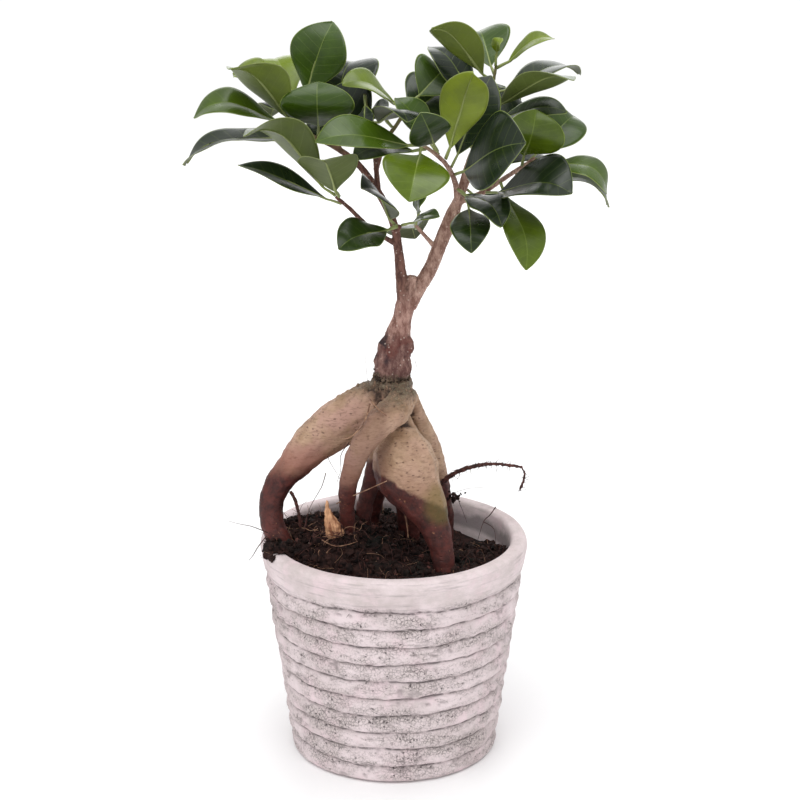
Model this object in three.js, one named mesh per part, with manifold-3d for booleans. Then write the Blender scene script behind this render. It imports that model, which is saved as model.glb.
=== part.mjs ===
// A grafted fig bonsai in a ribbed cement pot. Millimetres, +Z up.
// The origin is the centre of the pot's flat foot, and -Y is the side that the tree is shown from.
// A swollen rootstock stands on its roots, and the trunk grafted on it carries eleven leafy shoots.
import * as THREE from "three";
import { mergeVertices } from "three/addons/utils/BufferGeometryUtils.js";
import Module from "manifold-3d";

const wasm = await Module();
wasm.setup();

const GAP = 0.35; // clearance between two solids that touch

const POT = {
  height: 109,
  rimRadius: 65,
  footRadius: 49,
  footChamfer: 3,
  bandHeight: 16, // the plain band under the rim
  shoulderRadius: 61.5, // the wall where the ribs begin
  ribs: 10,
  ribDepth: 1.5,
  wall: 8,
  floor: 9,
  sides: 36,
};
const SOIL_LEVEL = 101;
const SOIL_SIDES = 36;
const SOIL_RINGS = 9;
const GRAFT_HEIGHT = 188; // where the rootstock ends and the grafted trunk begins

const LEAF = {
  thickness: 0.7,
  petiole: 5.5,
  petioleWidth: 1.2,
  petioleThickness: 0.9,
  fold: 0.3, // rise of each half blade per millimetre of half width
  bowPeak: 4 / 27, // the highest value of t * t * (1 - t), which is how a leaf arches off its chord
  endShare: 0.94, // leaves past this share of a shoot's length point partly along it
  endTurn: 0.4,
};

const group = new THREE.Group();
const vec = (p) => new THREE.Vector3(...p);

function finish(colour, roughness) {
  return new THREE.MeshStandardMaterial({ color: colour, roughness, metalness: 0 });
}
const CEMENT = finish(0xd9cfcd, 0.95);
const PEAT = finish(0x2a1d17, 1);
const ROOT_BARK = finish(0xa98d76, 0.8);
const STEM_BARK = finish(0x7d5648, 0.85);
const FINE_ROOT = finish(0x5d3a2c, 0.9);
const HUSK = finish(0xc08a5c, 0.8);
const LEAF_GREEN = finish(0x35562a, 0.35);

function add(name, geometry, material) {
  const mesh = new THREE.Mesh(geometry, material);
  mesh.name = name;
  group.add(mesh);
}

// --- Solids: three.js makes each shape, manifold-3d joins and cuts them.

function toSolid(geometry) {
  const bare = new THREE.BufferGeometry();
  bare.setAttribute("position", geometry.toNonIndexed().getAttribute("position"));
  const merged = mergeVertices(bare, 1e-3);
  const vertProperties = merged.attributes.position.array;
  const triVerts = new Uint32Array(merged.index.array);
  return new wasm.Manifold(new wasm.Mesh({ numProp: 3, vertProperties, triVerts }));
}

function toGeometry(solid) {
  const mesh = solid.getMesh();
  const geometry = new THREE.BufferGeometry();
  geometry.setAttribute("position", new THREE.BufferAttribute(mesh.vertProperties, 3));
  geometry.setIndex(new THREE.BufferAttribute(mesh.triVerts, 1));
  return geometry;
}

const join = (solids) => solids.reduce((whole, next) => whole.add(next));

// A round limb of varying thickness along a smooth path: stops are [x, y, z, radius].
function limb(stops, sides, stepsPerStop, extra = 0) {
  const path = new THREE.CatmullRomCurve3(stops.map((s) => vec(s.slice(0, 3))), false, "centripetal");
  const steps = (stops.length - 1) * stepsPerStop;
  const radiusAt = (i) => {
    const k = Math.min(Math.floor(i / stepsPerStop), stops.length - 2);
    return THREE.MathUtils.lerp(stops[k][3], stops[k + 1][3], i / stepsPerStop - k) + extra;
  };
  const frames = path.computeFrenetFrames(steps, false);
  const profile = [new THREE.Vector2(0, 0)];
  for (let i = 0; i <= steps; i++) profile.push(new THREE.Vector2(radiusAt(i), i));
  profile.push(new THREE.Vector2(0, steps));
  const geometry = new THREE.LatheGeometry(profile, sides);
  const position = geometry.getAttribute("position");
  for (let v = 0; v < position.count; v++) {
    const i = Math.round(position.getY(v));
    // Frames and points sit at even lengths. Lathe X, Y, Z go to binormal, tangent, normal.
    const place = path
      .getPointAt(i / steps)
      .addScaledVector(frames.binormals[i], position.getX(v))
      .addScaledVector(frames.normals[i], position.getZ(v));
    position.setXYZ(v, place.x, place.y, place.z);
  }
  return toSolid(geometry);
}

function knob([x, y, z], [rx, ry, rz]) {
  return toSolid(new THREE.SphereGeometry(1, 10, 7).scale(rx, ry, rz).translate(x, y, z));
}

function turned(profile, sides) {
  const points = profile.map(([r, z]) => new THREE.Vector2(r, z));
  return new THREE.LatheGeometry(points, sides).rotateX(Math.PI / 2);
}

// --- The pot: a thick-walled cement bucket, its outside coiled in overlapping ribs below a plain band.

const innerRadius = (z) =>
  THREE.MathUtils.mapLinear(z, 0, POT.height, POT.footRadius - POT.wall, POT.rimRadius - POT.wall);

function potProfile(extra) {
  const ribTop = POT.height - POT.bandHeight;
  const wallAt = (z) => THREE.MathUtils.mapLinear(z, 0, ribTop, POT.footRadius, POT.shoulderRadius);
  const pitch = ribTop / POT.ribs;
  const profile = [
    [0, -extra],
    [POT.footRadius - POT.footChamfer, -extra],
  ];
  for (let rib = 0; rib < POT.ribs; rib++) {
    const low = rib * pitch;
    profile.push([wallAt(low) + extra - (rib === 0 ? 1 : 0), low + (rib === 0 ? 1.5 : 0.2)]);
    profile.push([wallAt(low) + POT.ribDepth + extra, low + pitch * 0.3]);
  }
  profile.push(
    [POT.shoulderRadius + extra, ribTop],
    [POT.shoulderRadius + 2 + extra, ribTop + 3],
    [POT.rimRadius + extra, POT.height - 5],
    [POT.rimRadius - 0.5 + extra, POT.height - 1.5],
    [POT.rimRadius - 2 + extra, POT.height + extra],
    [innerRadius(POT.height) + 1 - extra, POT.height + extra],
    [innerRadius(POT.height - 2) - extra, POT.height - 2],
    [innerRadius(POT.floor) - extra, POT.floor + extra],
    [0, POT.floor + extra],
  );
  return profile;
}

add("pot", turned(potProfile(0), POT.sides), CEMENT);

// --- The rootstock: roots that have swollen above the soil and fused under a short stump.

const ROOTS = {
  left_arch: [
    [-2, 2, 181, 8],
    [-15, 1, 172, 11.5],
    [-27, -2, 165, 12],
    [-38, -3, 157, 10.8],
    [-47, -4, 147, 9],
    [-55, -4, 137, 7.2],
    [-59, -6, 126, 6.2],
    [-58, -10, 116, 6],
    [-53, -13, 107, 5.6],
    [-46, -14, 95, 4.4],
  ],
  front_crossing: [
    [5, -6, 181, 7],
    [1, -17, 177, 7.4],
    [-6, -27, 174, 6.8],
    [-13, -32, 167, 5.8],
    [-18, -31, 157, 5],
    [-21, -28, 146, 4.5],
    [-22, -22, 133, 3.9],
    [-22, -15, 119, 3.6],
    [-22, -11, 104, 3],
  ],
  front_bulb: [
    [1, -3, 178, 6],
    [2, -7, 166, 8],
    [4, -13, 155, 14.4],
    [7, -19, 145, 16],
    [14, -24, 134, 11.5],
    [19, -28, 124, 8],
    [22, -31, 115, 6],
    [24, -33, 104, 5.2],
    [26, -34, 90, 4],
  ],
  right_back: [
    [4, 4, 180, 6],
    [9, 9, 167, 6],
    [15, 14, 154, 6],
    [19, 18, 140, 6.5],
    [22, 22, 126, 6],
    [24, 25, 112, 5.5],
    [26, 27, 94, 4],
  ],
  middle_back: [
    [0, 6, 178, 8],
    [-2, 12, 165, 9],
    [-4, 17, 151, 8.5],
    [-7, 20, 137, 7],
    [-10, 22, 122, 6],
    [-12, 24, 106, 5],
    [-13, 26, 92, 3.5],
  ],
  inner_brace: [
    [-1, 2, 172, 7],
    [-4, 3, 158, 6.4],
    [-8, 4, 144, 5.2],
    [-12, 4, 130, 4.4],
    [-15, 4, 116, 4],
    [-16, 4, 100, 3],
  ],
  deep_back: [
    [0, 6, 172, 8],
    [2, 11, 158, 8.6],
    [5, 14, 144, 8],
    [6, 16, 130, 7],
    [7, 17, 114, 6],
    [8, 18, 98, 5],
  ],
  stump: [
    [0, 0, 168, 9],
    [0, 0, 176, 10],
    [-1, 0, 183, 10],
    [-1, 0, GRAFT_HEIGHT - GAP, 9],
  ],
};

function rootstock(extra) {
  return join(Object.values(ROOTS).map((stops) => limb(stops, 10, 2, extra)));
}
const potRoom = toSolid(turned(potProfile(GAP), POT.sides));
add("rootstock", toGeometry(rootstock(0).subtract(potRoom)), ROOT_BARK);

// --- Loose root ends: fine roots that dangle from the rootstock, and a papery bud scale on the soil.

const STRAY_ROOT = [
  [21, 10, 129, 1.3],
  [28, 6, 137, 1.2],
  [37, 3, 142, 1.1],
  [47, 2, 144, 1],
  [57, 2, 143, 0.8],
  [63, 1, 142, 0.7],
  [63, 1, 137, 0.6],
  [61, 0, 131, 0.5],
];
const HANGING_ROOT = [
  [-51, -5, 134, 0.9],
  [-48, -6, 130, 0.9],
  [-46, -7, 123, 0.8],
  [-45, -7, 115, 0.8],
  [-44, -7, 105, 0.7],
];
const strayRoot = limb(STRAY_ROOT, 7, 2).subtract(rootstock(GAP));
const hangingRoot = limb(HANGING_ROOT, 7, 2).subtract(rootstock(GAP));
add("stray_root", toGeometry(largest(strayRoot)), FINE_ROOT);
add("hanging_root", toGeometry(largest(hangingRoot)), FINE_ROOT);

function largest(solid) {
  return solid.decompose().reduce((best, part) => (part.volume() > best.volume() ? part : best));
}

// --- The grafted trunk with its fork, pruning stub, branches and leafy shoots.

const WOOD = {
  trunk: [
    [-1, 0, GRAFT_HEIGHT, 8.6],
    [-1, 0, 195, 8.6],
    [1, 0, 202, 7.6],
    [2, 0, 209, 6],
    [4, 0, 217, 4.6],
    [6, 0, 226, 4.6],
    [7, 0, 231, 3.6],
  ],
  left_branch: [
    [5, 0, 222, 3.4],
    [4, -1, 233, 2.9],
    [3, -2, 243, 2.3],
    [2, -3, 253, 2.1],
    [0, -4, 264, 2],
    [-7, -4, 278, 1.8],
    [-17, -4, 292, 1.6],
    [-28, -5, 300, 1.4],
  ],
  right_branch: [
    [7, 0, 223, 4],
    [12, 1, 232, 3.6],
    [17, 2, 240, 3.5],
    [21, 3, 250, 3.4],
    [25, 4, 260, 3.5],
    [29, 4, 270, 3.4],
    [31, 4, 275, 2.2],
  ],
  pruned_stub: [
    [7, -1, 226, 2.4],
    [8, -1, 233, 2.5],
    [9, -1, 238, 2.2],
  ],
};
const KNOBS = [
  [[-4, -2, 202], [4, 4, 7]],
  [[7.5, -2, 204], [2.2, 3, 5]],
  [[-6, -2, 192], [3.6, 4, 5]],
  [[5, -3, 194], [4, 4.4, 7]],
  [[0, 5, 197], [5, 4, 7]],
];

// Each leaf sits on its shoot at a share of the shoot's length. Its tip is a point in the part's frame.
// face is the way its upper side looks, width is the blade's, and bow is how far it arches off its chord.
const SHOOTS = {
  left_crown: {
    path: [
      [-28, -5, 300, 1.4],
      [-36, -7, 304, 1.2],
      [-44, -8, 310, 1.1],
      [-48, -9, 316, 0.9],
    ],
    leaves: [
      { at: 0.3, tip: [-34, -17, 331], face: [0, -10, 1], width: 31, bow: 7 },
      { at: 0.5, tip: [-97, 4, 289], face: [0, -1, 10], width: 20, bow: 7 },
      { at: 0.78, tip: [-90, -14, 314], face: [0, -4, 10], width: 20, bow: 9 },
      { at: 0.72, tip: [-72, -27, 339], face: [6, 9, 5], width: 29, bow: 5 },
    ],
  },
  left_back: {
    path: [
      [-24, -5, 297, 1.4],
      [-29, 4, 305, 1.2],
      [-40, 12, 312, 1.1],
      [-49, 15, 319, 0.9],
    ],
    leaves: [
      { at: 0.35, tip: [-18, 34, 333], face: [-3, -8, 5], width: 26, bow: 7 },
      { at: 0.6, tip: [-60, 46, 306], face: [-2, 1, 10], width: 20, bow: 7 },
      { at: 0.82, tip: [-28, 15, 354], face: [-2, -10, 3], width: 26, bow: 3 },
      { at: 0.99, tip: [-75, 18, 330], face: [2, -4, 10], width: 20, bow: 5 },
      { at: 0.88, tip: [-57, 46, 333], face: [0, -8, 8], width: 20, bow: 5 },
    ],
  },
  left_twig: {
    path: [
      [2, -3, 253, 1.6],
      [-5, -7, 258, 1.2],
      [-13, -12, 265, 1.2],
      [-20, -16, 273, 1.1],
      [-26, -20, 279, 1],
    ],
    leaves: [
      { at: 0.9, tip: [-69, -29, 296], face: [-2, -5, 10], width: 15, bow: 1 },
      { at: 0.97, tip: [-31, -51, 302], face: [0, 6, 8], width: 25, bow: 3 },
      { at: 0.99, tip: [-66, -36, 310], face: [2, 6, 9], width: 25, bow: 11 },
    ],
  },
  left_whorl: {
    path: [
      [1, -4, 260, 1.8],
      [3, -8, 263, 1.2],
    ],
    leaves: [
      { at: 0.7, tip: [-14, -28, 285], face: [-3, -7, 10], width: 20, bow: 4 },
      { at: 0.9, tip: [-25, -30, 258], face: [0, -8, 10], width: 20, bow: 3 },
      { at: 0.95, tip: [21, -20, 270], face: [0, -4, 10], width: 9, bow: 2 },
    ],
  },
  centre: {
    path: [
      [-7, -4, 278, 1.6],
      [-8, -8, 291, 1.3],
      [-9, -10, 305, 1.2],
      [-12, -9, 317, 1.1],
      [-13, -8, 324, 0.9],
    ],
    leaves: [
      { at: 0.45, tip: [-31, 10, 322], face: [-3, -9, 5], width: 25, bow: 3 },
      { at: 0.7, tip: [7, -40, 317], face: [3, -3, 10], width: 16, bow: 5 },
      { at: 0.97, tip: [-12, -30, 309], face: [-6, -6, 10], width: 9, bow: 1 },
    ],
  },
  centre_back: {
    path: [
      [-8, -7, 289, 1.5],
      [-4, 1, 300, 1.2],
      [3, 5, 310, 1.1],
      [8, 6, 318, 0.9],
    ],
    leaves: [
      { at: 0.6, tip: [-11, 7, 314], face: [1, -5, 10], width: 14, bow: 3 },
      { at: 0.75, tip: [26, 33, 319], face: [0, -9, 6], width: 24, bow: 4 },
      { at: 0.88, tip: [-23, -12, 329], face: [1, -5, 10], width: 19, bow: 5 },
      { at: 0.97, tip: [25, 24, 330], face: [0, -10, 5], width: 24, bow: 5 },
    ],
  },
  front: {
    path: [
      [30, 3, 272, 2],
      [28, -6, 284, 1.5],
      [23, -15, 294, 1.3],
      [16, -22, 301, 1.1],
      [12, -26, 304, 0.9],
    ],
    leaves: [
      { at: 0.2, tip: [49, -35, 269], face: [2, -5, 10], width: 14, bow: 5 },
      { at: 0.4, tip: [58, -40, 307], face: [0, -10, 8], width: 28, bow: 4 },
      { at: 0.48, tip: [44, -6, 332], face: [-2, -10, 3], width: 17, bow: 2 },
      { at: 0.64, tip: [35, -36, 337], face: [1, 8, 5], width: 20, bow: 4 },
      { at: 0.72, tip: [1, -10, 323], face: [2, -6, 10], width: 13, bow: 2 },
      { at: 0.82, tip: [12, -39, 320], face: [0, -10, 3], width: 18, bow: 4 },
      { at: 0.9, tip: [-18, -34, 299], face: [0, -3, 10], width: 17, bow: 4 },
      { at: 0.96, tip: [-34, -45, 308], face: [0, -7, 10], width: 22, bow: 5 },
      { at: 0.98, tip: [7, -61, 285], face: [1, -7, 10], width: 28, bow: 4 },
    ],
  },
  inner_twig: {
    path: [
      [21, 3, 249, 1.6],
      [15, 1, 256, 1.1],
      [10, 0, 262, 0.9],
    ],
    leaves: [
      { at: 0.85, tip: [10, 26, 250], face: [-2, -7, 10], width: 18, bow: 5 },
      { at: 0.97, tip: [15, -12, 281], face: [-8, -6, 2], width: 8, bow: 3 },
    ],
  },
  right_top: {
    path: [
      [30, 4, 272, 2.2],
      [34, 5, 288, 1.7],
      [39, 6, 302, 1.4],
      [43, 6, 316, 1.2],
      [46, 6, 329, 1],
      [47, 6, 335, 0.8],
    ],
    leaves: [
      { at: 0.5, tip: [66, 25, 311], face: [0, -7, 8], width: 20, bow: 5 },
      { at: 0.6, tip: [79, -4, 315], face: [0, -4, 10], width: 16, bow: 4 },
      { at: 0.64, tip: [16, 19, 342], face: [-6, 2, 10], width: 15, bow: 6 },
      { at: 0.7, tip: [80, -24, 333], face: [1, 4, 10], width: 25, bow: 5 },
      { at: 0.8, tip: [88, 28, 329], face: [0, -2, 10], width: 20, bow: 6 },
      { at: 0.88, tip: [17, -15, 355], face: [6, 8, 5], width: 21, bow: 4 },
      { at: 0.93, tip: [40, 36, 347], face: [0, -10, 6], width: 24, bow: 4 },
      { at: 0.97, tip: [73, 2, 348], face: [-3, -5, 10], width: 12, bow: 4 },
      { at: 0.99, tip: [48, 2, 348], face: [-8, -5, 2], width: 7, bow: 1 },
    ],
  },
  right_low: {
    path: [
      [30, 4, 272, 2],
      [40, 2, 276, 1.5],
      [50, 0, 283, 1.3],
      [58, -3, 289, 1.2],
      [65, -4, 294, 0.9],
    ],
    leaves: [
      { at: 0.12, tip: [35, -31, 256], face: [0, -8, 6], width: 17, bow: 4 },
      { at: 0.36, tip: [80, -31, 284], face: [0, -7, 10], width: 25, bow: 5 },
      { at: 0.52, tip: [60, -33, 248], face: [5, -8, 5], width: 19, bow: 6 },
      { at: 0.72, tip: [100, -3, 271], face: [0, -3, 10], width: 20, bow: 9 },
      { at: 0.85, tip: [64, -16, 318], face: [1, -10, 2], width: 27, bow: 6 },
      { at: 0.92, tip: [85, 24, 309], face: [3, -8, 8], width: 21, bow: 5 },
      { at: 0.98, tip: [98, -12, 279], face: [3, -5, 10], width: 18, bow: 9 },
    ],
  },
  back: {
    path: [
      [30, 5, 272, 2],
      [34, 12, 279, 1.5],
      [38, 20, 287, 1.3],
      [41, 26, 296, 0.9],
    ],
    leaves: [
      { at: 0.25, tip: [57, 30, 252], face: [4, -6, 8], width: 20, bow: 6 },
      { at: 0.65, tip: [70, 42, 288], face: [2, -5, 10], width: 22, bow: 6 },
      { at: 0.85, tip: [26, 60, 306], face: [0, -1, 10], width: 20, bow: 6 },
      { at: 0.97, tip: [54, 50, 320], face: [0, -8, 6], width: 20, bow: 4 },
    ],
  },
};

function wood() {
  const thick = Object.values(WOOD).map((stops) => limb(stops, 8, 2));
  const shoots = Object.values(SHOOTS).map((shoot) => limb(shoot.path, 6, 2));
  const knobs = KNOBS.map(([place, radii]) => knob(place, radii));
  const below = toSolid(new THREE.BoxGeometry(60, 60, 40).translate(0, 0, GRAFT_HEIGHT - 20));
  return join([...thick, ...shoots, ...knobs]).subtract(below);
}
add("grafted_trunk", toGeometry(wood()), STEM_BARK);

// --- The leaves. Share of the blade's length, and share of its half width there.

const OUTLINE = [
  [0, 0.1],
  [0.14, 0.6],
  [0.36, 0.97],
  [0.64, 1],
  [0.86, 0.68],
  [1, 0.06],
];

function leafBase(path, at, tip) {
  const curve = new THREE.CatmullRomCurve3(path.map((s) => vec(s.slice(0, 3))), false, "centripetal");
  const place = curve.getPointAt(at);
  const along = curve.getTangentAt(at);
  const out = tip.clone().sub(place);
  const share = at > LEAF.endShare ? LEAF.endTurn : 1;
  out.addScaledVector(along, -share * out.dot(along)).normalize();
  const radius = THREE.MathUtils.lerp(path[0][3], path[path.length - 1][3], at);
  return place.addScaledVector(out, radius + LEAF.petioleWidth / 2 + GAP);
}

function leafGeometry(base, tip, face, width, bow) {
  const chord = tip.clone().sub(base);
  const length = chord.length();
  const bowWay = face.clone().addScaledVector(chord, -face.dot(chord) / chord.lengthSq()).normalize();
  const midrib = (t) =>
    base.clone().addScaledVector(chord, t).addScaledVector(bowWay, (bow * t * t * (1 - t)) / LEAF.bowPeak);
  const stalk = LEAF.petiole / length;
  const stations = [
    { t: 0, half: LEAF.petioleWidth / 2, thick: LEAF.petioleThickness },
    ...OUTLINE.map(([share, half]) => ({
      t: stalk + share * (1 - stalk),
      half: Math.max((half * width) / 2, LEAF.petioleWidth / 2),
      thick: LEAF.thickness,
    })),
  ];
  const spans = stations.length - 1;
  const geometry = new THREE.BoxGeometry(2, 1, spans, 2, 1, spans);
  const position = geometry.getAttribute("position");
  for (let v = 0; v < position.count; v++) {
    const side = position.getX(v);
    const layer = position.getY(v);
    const { t, half, thick } = stations[Math.round(position.getZ(v) + spans / 2)];
    const tangent = midrib(t + 0.01).sub(midrib(t - 0.01)).normalize();
    const up = bowWay.clone().addScaledVector(tangent, -bowWay.dot(tangent)).normalize();
    const across = up.clone().cross(tangent);
    const place = midrib(t)
      .addScaledVector(across, side * half)
      .addScaledVector(up, layer * thick + LEAF.fold * Math.abs(side) * half);
    position.setXYZ(v, place.x, place.y, place.z);
  }
  return geometry;
}

for (const [shoot, { path, leaves }] of Object.entries(SHOOTS)) {
  leaves.forEach(({ at, tip, face, width, bow }, i) => {
    const end = vec(tip);
    const geometry = leafGeometry(leafBase(path, at, end), end, vec(face), width, bow);
    add(`leaf_${shoot}_${i + 1}`, geometry, LEAF_GREEN);
  });
}

// --- The soil: a plug of peat that fills the pot, mounded at the left where it spills over the rim.

const MOUNDS = [
  { x: -22, y: -6, rise: 13, spread: 18 },
  { x: -28, y: -14, rise: 5, spread: 10 },
  { x: -48, y: 4, rise: 9, spread: 14 },
  { x: 22, y: -34, rise: 3, spread: 14 },
  { x: 36, y: 32, rise: -8, spread: 22 },
];

function soilHeight(x, y) {
  return MOUNDS.reduce((height, { x: cx, y: cy, rise, spread }) => {
    const distance2 = (x - cx) ** 2 + (y - cy) ** 2;
    return height + rise * Math.exp(-distance2 / (2 * spread ** 2));
  }, SOIL_LEVEL);
}

function soilPlug() {
  const bottom = POT.floor + GAP;
  const topRadius = innerRadius(POT.height - 2) - GAP;
  const profile = [
    [0, bottom],
    [innerRadius(POT.floor) - 2 * GAP, bottom],
    [topRadius, POT.height - 12],
  ];
  for (let ring = 0; ring <= SOIL_RINGS; ring++) {
    profile.push([topRadius * (1 - ring / SOIL_RINGS), POT.height]);
  }
  const geometry = turned(profile, SOIL_SIDES);
  const position = geometry.getAttribute("position");
  for (let v = 0; v < position.count; v++) {
    if (position.getZ(v) > POT.height - 1) {
      position.setZ(v, soilHeight(position.getX(v), position.getY(v)));
    }
  }
  return toSolid(geometry);
}

const SPILL = { place: [-54, -10, 107], radii: [10, 24, 5.5] };
const BUD_SCALE = [
  [-28, -20, 116, 3.6],
  [-29.5, -21, 123, 2.8],
  [-31, -21, 129, 1.3],
  [-31, -20.5, 133, 0.3],
];
add("dry_husk", toGeometry(limb(BUD_SCALE, 8, 1).subtract(rootstock(GAP))), HUSK);

const soil = soilPlug()
  .add(knob(SPILL.place, SPILL.radii))
  .subtract(potRoom)
  .subtract(rootstock(GAP))
  .subtract(limb(HANGING_ROOT, 7, 2, GAP))
  .subtract(limb(BUD_SCALE, 8, 1, GAP).translate([0, 0, -GAP]));
add("soil", toGeometry(largest(soil)), PEAT);

export default group;
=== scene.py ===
import math
import random

import bmesh
import bpy
import numpy as np
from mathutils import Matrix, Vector, kdtree, noise


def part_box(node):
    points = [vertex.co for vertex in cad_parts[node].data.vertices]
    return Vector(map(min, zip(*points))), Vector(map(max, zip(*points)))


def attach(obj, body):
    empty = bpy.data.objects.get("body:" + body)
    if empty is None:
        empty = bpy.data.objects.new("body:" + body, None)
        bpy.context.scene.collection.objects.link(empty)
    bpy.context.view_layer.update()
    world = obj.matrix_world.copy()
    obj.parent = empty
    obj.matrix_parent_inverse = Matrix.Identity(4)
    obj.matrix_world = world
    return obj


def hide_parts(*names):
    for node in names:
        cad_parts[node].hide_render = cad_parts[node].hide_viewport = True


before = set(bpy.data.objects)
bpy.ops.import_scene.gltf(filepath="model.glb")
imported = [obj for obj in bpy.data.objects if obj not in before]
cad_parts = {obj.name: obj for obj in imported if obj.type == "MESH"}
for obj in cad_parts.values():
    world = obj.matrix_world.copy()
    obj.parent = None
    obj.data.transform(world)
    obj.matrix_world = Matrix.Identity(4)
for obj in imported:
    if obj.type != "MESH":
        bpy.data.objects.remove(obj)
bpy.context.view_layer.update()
MM = 0.001

# --- The view: a long lens in front of the tree, a little above it, looking down into the pot.

camera_data = bpy.data.cameras.new("camera")
camera_data.sensor_width = 36
camera_data.lens = 88.8
camera = bpy.data.objects.new("camera", camera_data)
camera.location = (3 * MM, -900 * MM, 452 * MM)
camera.rotation_euler = (math.radians(73), 0, 0)
bpy.context.collection.objects.link(camera)
bpy.context.scene.camera = camera
bpy.context.scene.view_settings.view_transform = "Standard"


# --- The studio: a wide pale floor under a bright, even sky, with soft boxes above and behind the tree.
# The floor and the lights aren't part of the tree.

def paint(red, green, blue):
    """A colour given as it looks on a screen, 0 to 255, as the linear colour that a shader takes."""
    shares = [c / 255 for c in (red, green, blue)]
    return [s / 12.92 if s < 0.04 else ((s + 0.055) / 1.055) ** 2.4 for s in shares] + [1]


def new_finish(name, roughness):
    material = bpy.data.materials.new(name)
    material.use_nodes = True
    tree = material.node_tree
    shader = tree.nodes["Principled BSDF"]
    shader.inputs["Roughness"].default_value = roughness
    return material, tree, shader


def put(tree, kind, inputs=None, **settings):
    """Adds a shader node, with its inputs set to values or fed from other sockets."""
    made = tree.nodes.new(kind)
    for name, value in settings.items():
        setattr(made, name, value)
    for socket, value in (inputs or {}).items():
        if isinstance(value, bpy.types.NodeSocket):
            tree.links.new(value, made.inputs[socket])
        else:
            made.inputs[socket].default_value = value
    return made


def mottle(tree, where, scale, detail=6, roughness=0.6):
    return put(tree, "ShaderNodeTexNoise", {"Vector": where, "Scale": scale, "Detail": detail,
                                            "Roughness": roughness}).outputs["Fac"]


def rise(tree, value, low, high):
    """0 below low, 1 above high, smooth between them. low may be above high."""
    return put(tree, "ShaderNodeMapRange", {"Value": value, "From Min": low, "From Max": high},
               interpolation_type="SMOOTHSTEP").outputs["Result"]


def mix(tree, share, first, second, mode="MIX"):
    return put(tree, "ShaderNodeMix", {0: share, 6: first, 7: second},
               data_type="RGBA", blend_type=mode).outputs[2]


def maths(tree, operation, *values):
    return put(tree, "ShaderNodeMath", dict(enumerate(values)), operation=operation).outputs[0]


def times(tree, first, second):
    return maths(tree, "MULTIPLY", first, second)


def bump(tree, shader, height, distance, strength=1.0):
    made = put(tree, "ShaderNodeBump", {"Height": height, "Distance": distance, "Strength": strength})
    tree.links.new(made.outputs["Normal"], shader.inputs["Normal"])


def cell_number(tree, cells, channel=0):
    """The number from 0 to 1 that each cell of a cellular pattern carries, which picks some of the cells."""
    return put(tree, "ShaderNodeSeparateColor", {0: cells.outputs["Color"]}).outputs[channel]


def own_place(tree):
    return put(tree, "ShaderNodeTexCoord").outputs["Object"]


bpy.ops.object.select_all(action="DESELECT")
bpy.ops.mesh.primitive_plane_add(size=14)
floor = bpy.context.object
floor.name = "studio_floor"
floor_finish, floor_tree, floor_shader = new_finish("floor_paper", 0.9)
floor_grain = mottle(floor_tree, own_place(floor_tree), 3)
floor_colour = mix(floor_tree, floor_grain, paint(243, 243, 244), paint(247, 247, 247))
floor_tree.links.new(floor_colour, floor_shader.inputs["Base Color"])
floor.data.materials.append(floor_finish)

world = bpy.data.worlds.new("studio")
world.use_nodes = True
world.node_tree.nodes["Background"].inputs["Color"].default_value = (1, 1, 1, 1)
world.node_tree.nodes["Background"].inputs["Strength"].default_value = 0.74
bpy.context.scene.world = world


def lamp(name, kind, place, aim, size, power):
    data = bpy.data.lights.new(name, kind)
    if kind == "SUN":
        data.angle = size
    else:
        data.size = size
    data.energy = power
    made = bpy.data.objects.new(name, data)
    made.location = place
    made.rotation_euler = (Vector(aim) - Vector(place)).to_track_quat("-Z", "Y").to_euler()
    bpy.context.collection.objects.link(made)


lamp("key", "SUN", (-0.2, -0.9, 1.9), (0, 0, 0.15), math.radians(50), 1.4)
lamp("top_box", "AREA", (0.1, 0.1, 1.2), (0, 0, 0.2), 0.5, 2.5)
lamp("back_box", "AREA", (0, 1.5, 0.8), (0, 0, 0.28), 1.0, 5)


# --- The pot: cast cement, thick-walled, its outside coiled in ten overlapping ribs below a plain rim band.
# The ribs' lower edges are wavy and chipped, and dirt sits in a fine crackle. Painted shade darkens their
# grooves in patches, and painted shade with dirt darkens the inside wall above the soil.

RIBS = 10
BAND = 16 * MM
FOOT_RADIUS = 49 * MM
SHOULDER_RADIUS = 61.5 * MM
WALL = 8 * MM
FLOOR = 9 * MM
POT_STEPS = 288
# How much the cast wall has worn back, in millimetres.
WORN = 0.105

pot_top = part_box("pot")[1]
RIM_RADIUS, POT_HEIGHT = pot_top.x, pot_top.z
RIB_TOP = POT_HEIGHT - BAND
RIB_PITCH = RIB_TOP / RIBS


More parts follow.
